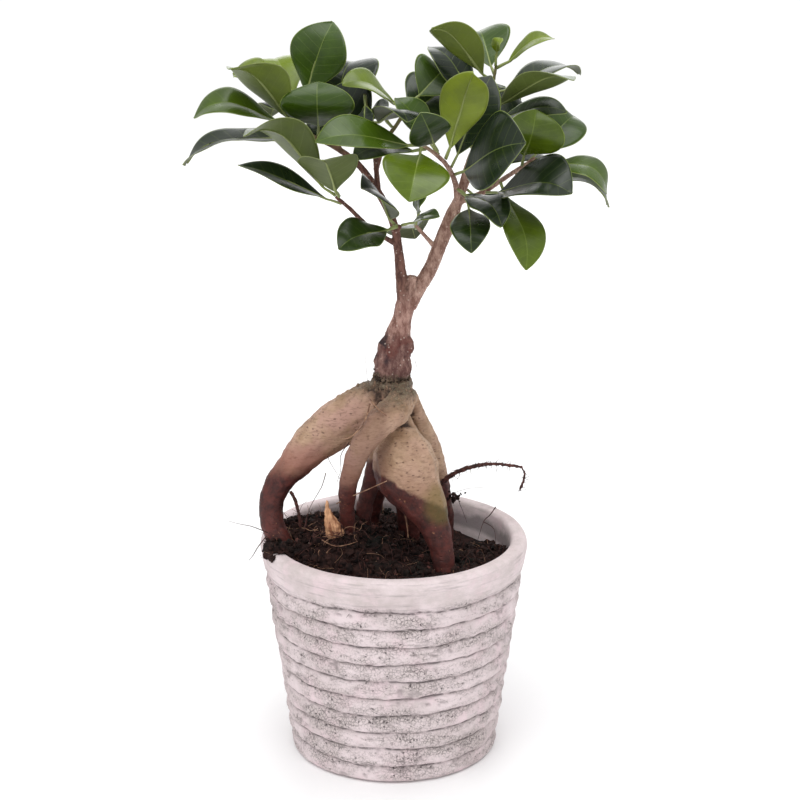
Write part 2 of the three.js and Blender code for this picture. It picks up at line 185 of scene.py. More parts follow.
def pot_profile():
    """Radius and height of the pot's skin, from the foot's centre over the rim to the floor's centre."""
    profile = [(r * FOOT_RADIUS, 0) for r in (0, 0.3, 0.6, 0.85, 0.94)] + [(FOOT_RADIUS - 1 * MM, 0.5 * MM)]
    for rib in range(RIBS):
        low = rib * RIB_PITCH
        for share, proud in ((0.02, -0.3), (0.05, 0.4), (0.09, 1.1), (0.15, 1.5), (0.25, 1.7), (0.36, 1.65),
                             (0.48, 1.5), (0.6, 1.25), (0.72, 0.95), (0.83, 0.6), (0.92, 0.3), (0.98, -0.1)):
            z = low + share * RIB_PITCH
            wall = FOOT_RADIUS + (SHOULDER_RADIUS - FOOT_RADIUS) * z / RIB_TOP
            if rib or share > 0.1:
                profile.append((wall + proud * MM, z))
    profile += [(SHOULDER_RADIUS + proud * MM, RIB_TOP + up * MM)
                for proud, up in ((-0.3, 0.2), (0.8, 0.7), (1.5, 1.5), (1.9, 2.8), (2.2, 4.2), (2.5, 5.8),
                                  (2.8, 7.4), (3.0, 9.0), (3.3, 10.4))]
    profile += [(RIM_RADIUS + inward * MM, POT_HEIGHT + down * MM)
                for inward, down in ((0, -4.6), (0, -3.6), (-0.1, -2.7), (-0.4, -1.7), (-0.9, -0.9),
                                     (-1.6, -0.35), (-2.6, 0), (-3.9, 0), (-5.2, 0), (-6.3, -0.1),
                                     (-7.1, -0.5), (-7.7, -1.2), (-8.1, -2.2), (-8.3, -4), (-8.6, -6.5),
                                     (-9, -9.5))]
    inner_top = RIM_RADIUS - WALL
    inner_foot = FOOT_RADIUS - WALL
    for share in (0.8, 0.6, 0.4, 0.2, 0):
        z = FLOOR + share * (POT_HEIGHT - FLOOR)
        profile.append((inner_foot + (inner_top - inner_foot) * z / POT_HEIGHT, z))
    return profile + [(inner_foot * share, FLOOR) for share in (0.7, 0.35, 0)]


def turned(name, profile, steps):
    """A solid turned about the upright axis: a chain of points is drawn, then spun right round."""
    bpy.ops.object.select_all(action="DESELECT")
    bpy.ops.mesh.primitive_circle_add(vertices=3, radius=MM, location=(profile[0][0], 0, profile[0][1]))
    piece = bpy.context.object
    piece.name = name
    bpy.ops.object.transform_apply(location=True)
    bpy.ops.object.mode_set(mode="EDIT")
    bpy.ops.mesh.select_all(action="SELECT")
    bpy.ops.mesh.merge(type="CENTER")
    for (r0, z0), (r1, z1) in zip(profile, profile[1:]):
        bpy.ops.mesh.extrude_vertices_move(TRANSFORM_OT_translate={"value": (r1 - r0, 0, z1 - z0)})
    bpy.ops.mesh.select_all(action="SELECT")
    bpy.ops.mesh.spin(steps=steps, angle=2 * math.pi, center=(0, 0, 0), axis=(0, 0, 1))
    bpy.ops.mesh.select_all(action="SELECT")
    bpy.ops.mesh.remove_doubles(threshold=0.01 * MM)
    bpy.ops.mesh.normals_make_consistent(inside=False)
    bpy.ops.object.mode_set(mode="OBJECT")
    bpy.ops.object.shade_smooth()
    return piece


def points_of(piece):
    found = np.empty(len(piece.data.vertices) * 3)
    piece.data.vertices.foreach_get("co", found)
    return found.reshape(-1, 3)


def set_points(piece, points):
    piece.data.vertices.foreach_set("co", np.asarray(points, float).ravel())
    piece.data.update()


def mark(piece, name, values):
    """A number on each point, for a finish to read."""
    layer = piece.data.attributes.new(name, "FLOAT", "POINT")
    layer.data.foreach_set("value", np.asarray(values, np.float32))


def wander(points, size, seed):
    """Smooth noise between about -1 and 1, with bumps of the given size."""
    shift = Vector((seed * 7.3, seed * 3.1, seed * 5.7))
    return np.array([noise.noise(Vector(p) / size + shift) for p in points])


def step_up(values, low, high):
    share = np.clip((values - low) / (high - low), 0, 1)
    return share * share * (3 - 2 * share)


pot = turned("cement_pot", pot_profile(), POT_STEPS)
place = points_of(pot)
radius = np.hypot(place[:, 0], place[:, 1])
outward = np.stack([place[:, 0], place[:, 1], 0 * radius], 1) / np.maximum(radius, MM)[:, None]
wall_there = FOOT_RADIUS + (SHOULDER_RADIUS - FOOT_RADIUS) * place[:, 2] / RIB_TOP
outside = step_up(radius - wall_there, -3 * MM, -1.5 * MM)
above_foot = step_up(place[:, 2], 0.5 * MM, 3 * MM)
below_band = 1 - step_up(place[:, 2], RIB_TOP + 1 * MM, RIB_TOP + 4 * MM)
ribbed = outside * above_foot * below_band
share_up = (place[:, 2] / RIB_PITCH) % 1
groove = ribbed * np.maximum(1 - step_up(share_up, 0.03, 0.12), step_up(share_up, 0.9, 0.98))
mark(pot, "groove", groove)
stretched = place * [1, 1, 1.6]
drift = (wander(place * [1, 1, 2], 24 * MM, 1) * 0.9 + wander(place * [1, 1, 2.5], 8 * MM, 2) * 0.8
         + wander(place * [1, 1, 2], 3 * MM, 9) * 0.35)
chips = step_up(wander(stretched, 3.2 * MM, 3), 0.22, 0.5) * step_up(wander(place, 16 * MM, 4), -0.15, 0.25)
lumps = wander(stretched, 7 * MM, 5) * 0.5 + wander(place, 2 * MM, 6) * 0.25 + wander(place, 18 * MM, 8) * 0.4
rim_lumps = wander(place, 18 * MM, 7) * 0.35 * (1 - ribbed) * step_up(place[:, 2], RIB_TOP, RIB_TOP + 5 * MM)
place[:, 2] += ribbed * drift * MM
place += outward * (ribbed * (lumps - 0.75 * chips) + rim_lumps * 0.6 - WORN * outside)[:, None] * MM
place[:, 2] += rim_lumps * 0.5 * MM
set_points(pot, place)
mark(pot, "chips", ribbed * chips)
mark(pot, "ribbed", ribbed)

cement, tree, shader = new_finish("weathered_cement", 0.9)
shader.inputs["Specular IOR Level"].default_value = 0.25
here = own_place(tree)
x, y, z = put(tree, "ShaderNodeSeparateXYZ", {0: here}).outputs
warp = put(tree, "ShaderNodeTexNoise", {"Vector": here, "Scale": 300, "Detail": 4}).outputs["Color"]
bent = put(tree, "ShaderNodeMix", {0: 0.0032, 4: here, 5: warp}, data_type="VECTOR").outputs[1]
cracks = put(tree, "ShaderNodeTexVoronoi", {"Vector": bent, "Scale": 640},
             feature="DISTANCE_TO_EDGE").outputs["Distance"]
crack_line = rise(tree, maths(tree, "ADD", cracks, times(tree, mottle(tree, here, 500, 3), 0.12)), 0.17, 0.05)
layered = put(tree, "ShaderNodeMapping", {"Vector": here, "Scale": (1, 1, 2.4)}).outputs[0]
patches = rise(tree, mottle(tree, layered, 48, 8, 0.78), 0.38, 0.66)
pits = put(tree, "ShaderNodeTexVoronoi", {"Vector": bent, "Scale": 620}, feature="F1")
pit_chosen = rise(tree, cell_number(tree, pits), 0.72, 0.8)
pit = times(tree, rise(tree, pits.outputs["Distance"], 0.42, 0.2), pit_chosen)
grooves = put(tree, "ShaderNodeAttribute", attribute_name="groove").outputs["Fac"]
chipped = put(tree, "ShaderNodeAttribute", attribute_name="chips").outputs["Fac"]
on_ribs = put(tree, "ShaderNodeAttribute", attribute_name="ribbed").outputs["Fac"]
wash = rise(tree, mottle(tree, here, 34, 6, 0.65), 0.4, 0.66)
body = mix(tree, wash, paint(235, 220, 222), paint(211, 197, 197))
body = mix(tree, rise(tree, mottle(tree, here, 70, 4), 0.48, 0.68), body, paint(234, 214, 218))
body = mix(tree, times(tree, patches, 0.5), body, paint(190, 180, 175))
crackle = times(tree, times(tree, crack_line, patches), on_ribs)
patch_pits = times(tree, times(tree, pit, rise(tree, patches, 0.1, 0.8)), on_ribs)
dark = maths(tree, "MAXIMUM", times(tree, crackle, 0.72), times(tree, patch_pits, 0.85))
# Painted shade: the grooves under the ribs' lower edges are darkened in patches.
groove_shade = times(tree, grooves, rise(tree, mottle(tree, here, 240, 4), 0.3, 0.6))
# The cement's dark marks: real crackle, pits, chips and streaks, together with painted shade in the grooves
# and inside the wall.
dirt_and_shade = maths(tree, "MAXIMUM", dark, times(tree, groove_shade, 0.75))
dirt_and_shade = maths(tree, "MAXIMUM", dirt_and_shade, times(tree, chipped, 0.4))
brushed = put(tree, "ShaderNodeMapping", {"Vector": here, "Scale": (1, 1, 14)}).outputs[0]
streak = times(tree, rise(tree, mottle(tree, brushed, 40, 5), 0.52, 0.72), 0.3)
dirt_and_shade = maths(tree, "MAXIMUM", dirt_and_shade, times(tree, streak, rise(tree, z, 92 * MM, 95 * MM)))
level_place = put(tree, "ShaderNodeCombineXYZ", {0: x, 1: y}).outputs[0]
axis_distance = put(tree, "ShaderNodeVectorMath", {0: level_place}, operation="LENGTH").outputs["Value"]
# Painted shade with dirt: the inside wall is darkened from below the rim lip down to the soil.
inner_dirt_and_shade = maths(tree, "ADD", z, times(tree, mottle(tree, here, 120, 4), 9 * MM))
on_inside = times(tree, rise(tree, axis_distance, 57.8 * MM, 57.2 * MM), rise(tree, z, 95 * MM, 98 * MM))
inner_dirt_and_shade = times(tree, rise(tree, inner_dirt_and_shade, 110.5 * MM, 106 * MM), on_inside)
dirt_and_shade = maths(tree, "MAXIMUM", dirt_and_shade, times(tree, inner_dirt_and_shade, 0.6))
tree.links.new(mix(tree, dirt_and_shade, body, paint(78, 70, 72)), shader.inputs["Base Color"])
grit = maths(tree, "SUBTRACT", mottle(tree, here, 900, 5, 0.75), times(tree, crackle, 0.9))
grit = maths(tree, "SUBTRACT", grit, patch_pits)
bump(tree, shader, grit, 0.45 * MM, 0.95)
pot.data.materials.append(cement)
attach(pot, "root")
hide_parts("pot")


# --- The rootstock: swollen roots that stand on their tips and have grown together under the stump.
# Its skin is tan and smooth with short dark pores above the old soil line, and stained red-brown below it.

def edge_ends(piece):
    found = np.empty(len(piece.data.edges) * 2, int)
    piece.data.edges.foreach_get("vertices", found)
    return found.reshape(-1, 2)


def normals_of(piece):
    found = np.empty(len(piece.data.vertices) * 3)
    piece.data.vertices.foreach_get("normal", found)
    return found.reshape(-1, 3)


def hollowness(piece, rounds):
    """How far each point lies below the average skin around it, in millimetres: high in crevices."""
    points = points_of(piece)
    ends = edge_ends(piece)
    count = np.bincount(ends.ravel(), minlength=len(points))[:, None]
    around = points.copy()
    for _ in range(rounds):
        total = np.zeros_like(points)
        np.add.at(total, ends[:, 0], around[ends[:, 1]])
        np.add.at(total, ends[:, 1], around[ends[:, 0]])
        around = total / np.maximum(count, 1)
    return ((around - points) * normals_of(piece)).sum(1) / MM


def grown_copy(name, node, cell, rounds):
    """A copy of a CAD solid with its facets melted into one continuous skin of small cells.
    Each point keeps how deep it lies in a crease where two limbs meet, as its crease."""
    bpy.ops.object.select_all(action="DESELECT")
    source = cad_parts[node]
    piece = bpy.data.objects.new(name, source.data.copy())
    piece.data.materials.clear()
    bpy.context.collection.objects.link(piece)
    bpy.context.view_layer.objects.active = piece
    piece.select_set(True)
    bpy.ops.object.mode_set(mode="EDIT")
    bpy.ops.mesh.select_all(action="SELECT")
    bpy.ops.mesh.remove_doubles(threshold=0.01 * MM)
    bpy.ops.object.mode_set(mode="OBJECT")
    skin = piece.modifiers.new("skin", "REMESH")
    skin.mode = "VOXEL"
    skin.voxel_size = cell
    bpy.ops.object.modifier_apply(modifier="skin")
    mark(piece, "crease", step_up(hollowness(piece, 10), 0.12, 0.75))
    melt = piece.modifiers.new("melt", "SMOOTH")
    melt.factor = 0.5
    melt.iterations = rounds
    bpy.ops.object.modifier_apply(modifier="melt")
    bpy.ops.object.shade_smooth()
    return piece


def swell(piece, kind, size, height, group=""):
    """Pushes the skin in and out along its normals by a cloudy or cellular pattern."""
    pattern = bpy.data.textures.new(f"{piece.name}_{kind}_{size}", kind)
    pattern.noise_scale = size
    push = piece.modifiers.new("swell", "DISPLACE")
    push.texture = pattern
    push.texture_coords = "LOCAL"
    push.strength = height
    push.vertex_group = group
    bpy.context.view_layer.objects.active = piece
    bpy.ops.object.modifier_apply(modifier="swell")


def numbers_of(piece, name):
    found = np.empty(len(piece.data.vertices), np.float32)
    piece.data.attributes[name].data.foreach_get("value", found)
    return found


# Where one root lies over another, the CAD solid folds inwards by more than this. Slivers of faces, with less
# area than this, don't count.
SHARP_FOLD = math.radians(24)
SLIVER = 0.05 * MM * MM


def fold_places(node):
    """Places at most a millimetre apart along the edges where a CAD solid folds inwards."""
    shape = bmesh.new()
    shape.from_mesh(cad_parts[node].data)
    bmesh.ops.remove_doubles(shape, verts=shape.verts, dist=0.02 * MM)
    places = []
    for edge in shape.edges:
        areas = [face.calc_area() for face in edge.link_faces]
        broad = len(areas) == 2 and min(areas) > SLIVER
        if broad and edge.calc_face_angle_signed(0) < -SHARP_FOLD:
            first, last = (corner.co for corner in edge.verts)
            steps = 1 + int(edge.calc_length() / MM)
            places += [first.lerp(last, k / steps) for k in range(steps + 1)]
    shape.free()
    return places


def distance_to(places, points):
    """How far each point lies from the nearest of some places."""
    near = kdtree.KDTree(len(places))
    for i, spot in enumerate(places):
        near.insert(spot, i)
    near.balance()
    return np.array([near.find(Vector(point))[2] for point in points])


# The middle of the stem, a little left of the pot's middle.
STEM_MIDDLE = -1 * MM

roots = grown_copy("swollen_roots", "rootstock", 0.8 * MM, 9)
crease = numbers_of(roots, "crease")
place, normal = points_of(roots), normals_of(roots)
from_fold = distance_to(fold_places("rootstock"), place)
below_graft = 1 - step_up(place[:, 2], 179 * MM, 187 * MM)
seam_cut = below_graft * np.exp(-((from_fold / (2.1 * MM)) ** 2))
crease = np.maximum(crease, below_graft * np.exp(-((from_fold / (1.3 * MM)) ** 2)))
set_points(roots, place - normal * np.maximum(crease * 1.5, seam_cut * 2.4)[:, None] * MM)
swell(roots, "CLOUDS", 9 * MM, 1.5 * MM)
swell(roots, "CLOUDS", 2.6 * MM, 0.5 * MM)
place = points_of(roots)
stump = step_up(place[:, 2], 174 * MM, 181 * MM)
widened = step_up(place[:, 2], 180 * MM, 187 * MM) * 0.07
place[:, :2] += (place[:, :2] - [STEM_MIDDLE, 0]) * widened[:, None]
torn = wander(place * [1, 1, 0.45], 2.2 * MM, 31) * 1.0 + wander(place * [1, 1, 0.5], 0.9 * MM, 32) * 0.5
set_points(roots, place + normals_of(roots) * (stump * torn)[:, None] * MM)
# Painted shade: this mark darkens the skin in the crevices where limbs meet and in other hollows.
mark(roots, "crevice_shade", np.maximum(crease, step_up(hollowness(roots, 12), 0.1, 0.8)))

root_skin, tree, shader = new_finish("root_skin", 0.6)
shader.inputs["Specular IOR Level"].default_value = 0.35
here = own_place(tree)
x, y, z = put(tree, "ShaderNodeSeparateXYZ", {0: here}).outputs
crevice_shade = put(tree, "ShaderNodeAttribute", attribute_name="crevice_shade").outputs["Fac"]
clouding = rise(tree, mottle(tree, here, 80, 6, 0.65), 0.36, 0.66)
tan = mix(tree, clouding, paint(190, 158, 132), paint(156, 126, 98))
on_left = rise(tree, x, -6 * MM, -22 * MM)
pinkish = times(tree, rise(tree, mottle(tree, here, 45, 4), 0.4, 0.62),
                maths(tree, "ADD", times(tree, on_left, 0.45), 0.35))
tan = mix(tree, pinkish, tan, paint(186, 146, 134))
cloud = put(tree, "ShaderNodeTexNoise", {"Vector": here, "Scale": 300, "Detail": 2}).outputs["Color"]
shaken = put(tree, "ShaderNodeMix", {0: 0.0022, 4: here, 5: cloud}, data_type="VECTOR").outputs[1]
squeezed = put(tree, "ShaderNodeMapping", {"Vector": shaken, "Scale": (1, 1, 1.9)}).outputs[0]
pores = put(tree, "ShaderNodeTexVoronoi", {"Vector": squeezed, "Scale": 380}, feature="F1")
pore_chosen = rise(tree, cell_number(tree, pores), 0.62, 0.7)
pore_spot = times(tree, rise(tree, pores.outputs["Distance"], 0.34, 0.14), pore_chosen)
tan = mix(tree, times(tree, pore_spot, 0.65), tan, paint(92, 66, 54))
upright = put(tree, "ShaderNodeMapping", {"Vector": shaken, "Scale": (1, 1, 0.32)}).outputs[0]
ticks = put(tree, "ShaderNodeTexVoronoi", {"Vector": upright, "Scale": 420}, feature="F1")
tick_chosen = rise(tree, cell_number(tree, ticks, 1), 0.82, 0.88)
tick = times(tree, rise(tree, ticks.outputs["Distance"], 0.2, 0.08), tick_chosen)
tan = mix(tree, times(tree, times(tree, tick, on_left), 0.7), tan, paint(84, 64, 52))
fine_lines = put(tree, "ShaderNodeMapping", {"Vector": here, "Scale": (1, 1, 4)}).outputs[0]
wrinkles = mottle(tree, fine_lines, 300, 5, 0.7)
tan = mix(tree, times(tree, rise(tree, wrinkles, 0.48, 0.66), 0.5), tan, paint(108, 82, 62))
green_from = put(tree, "ShaderNodeVectorMath", {0: here, 1: (22 * MM, -31 * MM, 134 * MM)},
                 operation="DISTANCE").outputs["Value"]
green = times(tree, rise(tree, green_from, 15 * MM, 5 * MM), 0.7)
tan = mix(tree, green, tan, paint(118, 104, 56))
ragged = times(tree, mottle(tree, here, 75, 4), 12 * MM)
fall = times(tree, maths(tree, "MAXIMUM", maths(tree, "ADD", x, 3 * MM), 0), 0.6)
level = maths(tree, "ADD", maths(tree, "ADD", z, fall), ragged)
reddened = rise(tree, level, 169 * MM, 154 * MM)
tan = mix(tree, times(tree, reddened, maths(tree, "ADD", times(tree, on_left, 0.6), 0.15)),
          tan, paint(140, 88, 72))
stain = rise(tree, mottle(tree, here, 170, 5, 0.7), 0.35, 0.7)
wine = mix(tree, stain, paint(92, 43, 37), paint(50, 24, 23))
wine_flecks = times(tree, rise(tree, mottle(tree, here, 520, 3), 0.66, 0.74), 0.6)
wine = mix(tree, wine_flecks, wine, paint(176, 120, 88))
tide_top = maths(tree, "ADD", times(tree, on_left, 1.5 * MM), 155.5 * MM)
tide_foot = maths(tree, "SUBTRACT", 152.5 * MM, times(tree, on_left, 7.5 * MM))
buried = rise(tree, level, tide_top, tide_foot)
damp = times(tree, rise(tree, green_from, 11 * MM, 5 * MM), 0.6)
in_front = times(tree, rise(tree, y, -18 * MM, -22 * MM), rise(tree, x, 1 * MM, -6 * MM))
tan = mix(tree, times(tree, in_front, 0.6), tan, paint(116, 82, 68))
skin = mix(tree, buried, tan, mix(tree, damp, wine, paint(92, 84, 36)))
fibrous = mottle(tree, upright, 700, 5, 0.75)
mossy = times(tree, rise(tree, maths(tree, "ADD", z, times(tree, ragged, 0.6)), 181.5 * MM, 189 * MM),
              rise(tree, fibrous, 0.3, 0.55))
moss = mix(tree, rise(tree, fibrous, 0.45, 0.62), paint(52, 44, 34), paint(132, 118, 98))
skin = mix(tree, mossy, skin, moss)
# Painted shade: the crevices and hollows are darkened almost to black-brown.
skin = mix(tree, times(tree, crevice_shade, 0.92), skin, paint(42, 27, 22))
tree.links.new(skin, shader.inputs["Base Color"])
tree.links.new(maths(tree, "ADD", times(tree, wrinkles, 0.3), 0.45), shader.inputs["Roughness"])
relief = maths(tree, "SUBTRACT", wrinkles, times(tree, maths(tree, "MAXIMUM", pore_spot, tick), 0.7))
bump(tree, shader, relief, 0.4 * MM, 0.8)
roots.data.materials.append(root_skin)
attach(roots, "root")
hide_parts("rootstock")


# --- The grafted trunk: a rough callus at the graft, a fork with a cut stub, and the shoots that bear leaves.
# Its bark is thin, cracked and reddish brown with pale flecks, and greener on the youngest shoots.

trunk = grown_copy("trunk_and_branches", "grafted_trunk", 0.42 * MM, 6)
place = points_of(trunk)
callus = 1 - step_up(place[:, 2], 206 * MM, 216 * MM)
woody = 1 - step_up(place[:, 2], 225 * MM, 275 * MM)
rough_group = trunk.vertex_groups.new(name="callus")
bark_group = trunk.vertex_groups.new(name="bark")
for i, (knobbly, thick) in enumerate(zip(callus, woody)):
    rough_group.add([i], float(knobbly), "REPLACE")
    bark_group.add([i], float(0.35 + 0.65 * thick), "REPLACE")
ease = trunk.modifiers.new("ease", "SMOOTH")
ease.factor = 0.5
ease.iterations = 30
ease.vertex_group = "callus"
bpy.ops.object.modifier_apply(modifier="ease")
swell(trunk, "CLOUDS", 6 * MM, 1.7 * MM, "callus")
swell(trunk, "CLOUDS", 1.7 * MM, 0.55 * MM, "callus")
swell(trunk, "CLOUDS", 2.2 * MM, 0.6 * MM, "bark")
place = points_of(trunk)
narrowed = 0.1 * (1 - step_up(place[:, 2], 188 * MM, 193 * MM))
place[:, :2] -= (place[:, :2] - [STEM_MIDDLE, 0]) * narrowed[:, None]
set_points(trunk, place)
# Painted shade: this mark darkens the bark in the callus's crevices and other hollows.
mark(trunk, "crevice_shade", step_up(hollowness(trunk, 6), 0.02, 0.3))

stem_bark, tree, shader = new_finish("stem_bark", 0.75)
shader.inputs["Specular IOR Level"].default_value = 0.3
here = own_place(tree)
x, y, z = put(tree, "ShaderNodeSeparateXYZ", {0: here}).outputs
crevice_shade = put(tree, "ShaderNodeAttribute", attribute_name="crevice_shade").outputs["Fac"]
upright = put(tree, "ShaderNodeMapping", {"Vector": here, "Scale": (1, 1, 0.4)}).outputs[0]
streaks = mottle(tree, upright, 420, 6, 0.75)
red = mix(tree, rise(tree, streaks, 0.36, 0.66), paint(76, 48, 42), paint(132, 94, 82))
fawn = mix(tree, rise(tree, streaks, 0.36, 0.66), paint(122, 88, 76), paint(190, 156, 142))
lower_wood = mix(tree, rise(tree, streaks, 0.38, 0.66), paint(96, 64, 60), paint(150, 116, 106))
on_right = rise(tree, x, 4 * MM, 10 * MM)
above_fork = rise(tree, z, 222 * MM, 232 * MM)
middle = mix(tree, rise(tree, streaks, 0.36, 0.66), paint(122, 84, 74), paint(186, 148, 136))
plain = mix(tree, above_fork, middle, mix(tree, on_right, red, fawn))
wood = mix(tree, rise(tree, z, 206 * MM, 213 * MM), lower_wood, plain)
sooty = times(tree, rise(tree, mottle(tree, here, 110, 4), 0.46, 0.6), rise(tree, x, 2 * MM, -4 * MM))
in_callus = times(tree, rise(tree, z, 214 * MM, 206 * MM), rise(tree, z, 194 * MM, 199 * MM))
wood = mix(tree, times(tree, times(tree, sooty, in_callus), 0.95), wood, paint(48, 36, 40))
rusty = rise(tree, mottle(tree, here, 120, 4), 0.46, 0.6)
wood = mix(tree, times(tree, times(tree, rusty, in_callus), 0.6), wood, paint(98, 46, 39))
flecks = put(tree, "ShaderNodeTexVoronoi", {"Vector": here, "Scale": 560}, feature="F1")
fleck_chosen = rise(tree, cell_number(tree, flecks), 0.55, 0.62)
fleck = times(tree, rise(tree, flecks.outputs["Distance"], 0.3, 0.14), fleck_chosen)
wood = mix(tree, times(tree, fleck, 0.6), wood, paint(212, 190, 178))
graft = maths(tree, "ADD", z, times(tree, mottle(tree, here, 260, 4), 7 * MM))
scurfy = mix(tree, streaks, paint(44, 36, 30), paint(120, 104, 88))
wood = mix(tree, rise(tree, graft, 196 * MM, 190 * MM), wood, scurfy)
young = times(tree, rise(tree, z, 292 * MM, 314 * MM), 0.8)
wood = mix(tree, young, wood, paint(98, 104, 54))
# Painted shade: the crevices and hollows are darkened to black-brown.
wood = mix(tree, times(tree, crevice_shade, 0.8), wood, paint(40, 25, 22))
tree.links.new(wood, shader.inputs["Base Color"])
bump(tree, shader, maths(tree, "ADD", streaks, times(tree, fleck, 0.5)), 0.45 * MM, 0.9)
trunk.data.materials.append(stem_bark)
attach(trunk, "root")
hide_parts("grafted_trunk")


# --- The leaves: thick oval blades with a pale midrib, folded a little along it, each on a short stalk.
# One flat blade is modelled finely, then each leaf is a copy laid along its own CAD leaf's rib and width.

ACROSS = 20
ALONG = 46
BLADE_THICKNESS = 0.42 * MM
STALK_SIDES = 8
STALK_CUTS = 24

# How young each leaf is, from 0, old and nearly black, to 1, fresh yellow-green.
LEAF_AGE = {
    "left_back_1": 0.04, "left_back_2": 0.1, "left_back_3": 0.5, "left_back_4": 0.95, "left_back_5": 0.9,
    "left_crown_1": 0.42, "left_crown_2": 0.1, "left_crown_3": 0.62, "left_crown_4": 0.66,
    "left_twig_1": 0.06, "left_twig_2": 0.25, "left_twig_3": 0.35,
    "left_whorl_1": 0.06, "left_whorl_2": 0.25, "left_whorl_3": 0.4,
    "centre_1": 0.05, "centre_2": 0.02, "centre_3": 0.02,
    "centre_back_1": 0.02, "centre_back_2": 0.15, "centre_back_3": 0.8, "centre_back_4": 0.55,
    "front_1": 0.12, "front_2": 0.08, "front_3": 0.08, "front_4": 1, "front_5": 0.42, "front_6": 0.22,
    "front_7": 0.3, "front_8": 0.58, "front_9": 0.72, "inner_twig_1": 0.06, "inner_twig_2": 0.45,
    "right_top_1": 0.1, "right_top_2": 0.22, "right_top_3": 0.05, "right_top_4": 0.35, "right_top_5": 0.12,
    "right_top_6": 0.72, "right_top_7": 0.45, "right_top_8": 0.95, "right_top_9": 1,
    "right_low_1": 0.18, "right_low_2": 0.1, "right_low_3": 0.72, "right_low_4": 0.3, "right_low_5": 0.7,
    "right_low_6": 0.5, "right_low_7": 0.6,
}


# A blade is this much wider than its CAD leaf. The inner blades, which close the middle of the crown, are
# wider yet.
BLADE_WIDER = 1.08
INNER_WIDER = 1.4
INNER_BLADES = {f"blade_{spot}" for spot in (
    "centre_1", "centre_2", "centre_back_1", "centre_back_2", "front_1", "front_2", "front_3", "front_5",
    "inner_twig_1", "left_back_1", "left_whorl_1", "right_low_2", "right_top_1", "right_top_3")}


def bendable_rod(name, sides, cuts):
    """A round rod from 0 to 1 along Y, of radius 1, cut into short lengths so that it can be bent."""
    bpy.ops.object.select_all(action="DESELECT")
    bpy.ops.mesh.primitive_cylinder_add(vertices=sides, radius=1, depth=1, location=(0, 0.5, 0),
                                        rotation=(math.radians(90), 0, 0))
    rod = bpy.context.object
    rod.name = name
    bpy.ops.object.transform_apply(location=True, rotation=True)
    bpy.ops.object.mode_set(mode="EDIT")
    bpy.ops.mesh.select_mode(type="EDGE")
    bpy.ops.mesh.select_all(action="DESELECT")
    bpy.ops.object.mode_set(mode="OBJECT")
    for edge in rod.data.edges:
        first, last = (rod.data.vertices[i].co for i in edge.vertices)
        edge.select = abs(first.y - last.y) > 0.5
    bpy.ops.object.mode_set(mode="EDIT")
    bpy.ops.mesh.subdivide(number_cuts=cuts)
    bpy.ops.object.mode_set(mode="OBJECT")
    return rod


def leaf_finish(name, roughness, old, grown, fresh, vein_colour, rib_share, margin_share):
    """One side of a leaf: it runs from its old colour to its fresh one, with a pale rib, veins and margin."""
    material, tree, shader = new_finish(name, roughness)
    here = own_place(tree)
    age, rib, edge, along = (put(tree, "ShaderNodeAttribute", attribute_name=of_point).outputs["Fac"]
                             for of_point in ("age", "from_rib", "from_edge", "along"))
    colour = mix(tree, rise(tree, age, 0, 0.5), old, grown)
    colour = mix(tree, rise(tree, age, 0.5, 1), colour, fresh)
    cloud = mottle(tree, here, 75, 5)
    colour = mix(tree, times(tree, rise(tree, cloud, 0.4, 0.68), 0.35), colour, old)
    slant = maths(tree, "SUBTRACT", times(tree, along, 9), times(tree, rib, 0.11))
    wave = maths(tree, "ABSOLUTE", maths(tree, "SUBTRACT", maths(tree, "FRACT", slant), 0.5))
    side_vein = times(tree, rise(tree, wave, 0.07, 0.0), rise(tree, edge, 0.3, 2.5))
    colour = mix(tree, times(tree, side_vein, 0.1), colour, vein_colour)
    rib_width = maths(tree, "ADD", times(tree, along, -0.4), 0.5)
    rib_line = rise(tree, maths(tree, "SUBTRACT", rib, rib_width), 0.15, -0.3)
    colour = mix(tree, times(tree, rib_line, rib_share), colour, vein_colour)
    margin = rise(tree, edge, 0.5, 0.15)
    colour = mix(tree, times(tree, margin, margin_share), colour, vein_colour)
    tree.links.new(colour, shader.inputs["Base Color"])
    sheen = maths(tree, "ADD", times(tree, cloud, 0.2), roughness - 0.1)
    tree.links.new(sheen, shader.inputs["Roughness"])
    height = maths(tree, "SUBTRACT", mottle(tree, here, 420, 3), times(tree, side_vein, 0.5))
    bump(tree, shader, height, 0.07 * MM, 0.8)
    shader.inputs["Specular IOR Level"].default_value = 0.4
    return material


leaf_upper = leaf_finish("leaf_upper_side", 0.3, paint(14, 28, 12), paint(56, 80, 12), paint(110, 128, 14),
                         paint(134, 152, 70), 0.5, 0.75)
leaf_under = leaf_finish("leaf_underside", 0.46, paint(68, 76, 44), paint(96, 110, 48), paint(126, 142, 36),
                         paint(150, 160, 100), 0.75, 0.5)

bpy.ops.object.select_all(action="DESELECT")
bpy.ops.mesh.primitive_grid_add(x_subdivisions=ACROSS, y_subdivisions=ALONG, size=2)
pattern = bpy.context.object
plate = pattern.modifiers.new("plate", "SOLIDIFY")
plate.thickness = 1
plate.offset = 0
bpy.ops.object.modifier_apply(modifier="plate")
pattern.data.materials.append(leaf_upper)
pattern.data.materials.append(leaf_under)
for face in pattern.data.polygons:
    face.material_index = 0 if face.normal.z > 0.5 else 1
stalk_rod = bendable_rod("leaf_stalk", STALK_SIDES, STALK_CUTS)
stalk_rod.data.materials.append(leaf_under)
mark(stalk_rod, "stalk", np.ones(len(stalk_rod.data.vertices)))
pattern.select_set(True)
bpy.context.view_layer.objects.active = pattern
bpy.ops.object.join()
bpy.ops.object.shade_smooth()
pattern.name = "leaf_pattern"
flat_points = points_of(pattern)
on_stalk = numbers_of(pattern, "stalk") > 0.5


